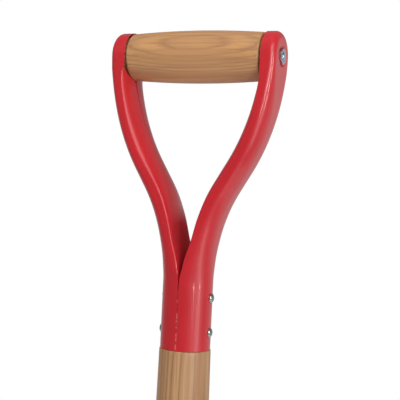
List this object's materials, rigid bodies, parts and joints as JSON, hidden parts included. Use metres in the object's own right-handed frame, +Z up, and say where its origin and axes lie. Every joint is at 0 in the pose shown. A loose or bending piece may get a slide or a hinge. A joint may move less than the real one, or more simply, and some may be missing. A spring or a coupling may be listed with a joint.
{
  "type": "post hole digging spade",
  "caption": "Long narrow digging spade with a wooden shaft, a riveted steel D-handle frame and a wooden cross grip that turns on its bolt.",
  "frame": {"origin": "on the shaft axis, level with the lowest point of the cutting edge, which is the bottom centre of the whole tool's box", "axes": "+Z up the shaft to the cross grip, +X to the right along the cross grip, -Y to the front, the hollow side of the blade"},
  "size_m": [0.15, 0.0434, 1.1498],
  "materials": {
    "enamel": "glossy red enamel over pressed steel",
    "grip_wood": "turned ash, thin satin lacquer",
    "shaft_wood": "straight-grained ash, satin lacquer",
    "zinc": "bright zinc plating",
    "rivet_steel": "dull bare steel",
    "blade_steel": "dark lacquer over tempered steel, bare at the cutting edge"
  },
  "bodies": {
    "tool": {"frame_left_half": "enamel", "frame_right_half": "enamel", "grip_bolt": "zinc", "grip_nut": "zinc", "collar_rivet_upper": "rivet_steel", "collar_rivet_lower": "rivet_steel", "shaft": "shaft_wood", "socket": "blade_steel", "socket_rivet_upper": "rivet_steel", "socket_rivet_lower": "rivet_steel", "blade": "blade_steel", "tread_left": "blade_steel", "tread_right": "blade_steel"},
    "grip": {"grip": "grip_wood"}
  },
  "joints": [
    {"name": "grip_turn", "type": "hinge", "parent": "tool", "child": "grip", "pos_m": [0, 0, 1.13], "axis": [1, 0, 0], "continuous": true}
  ]
}
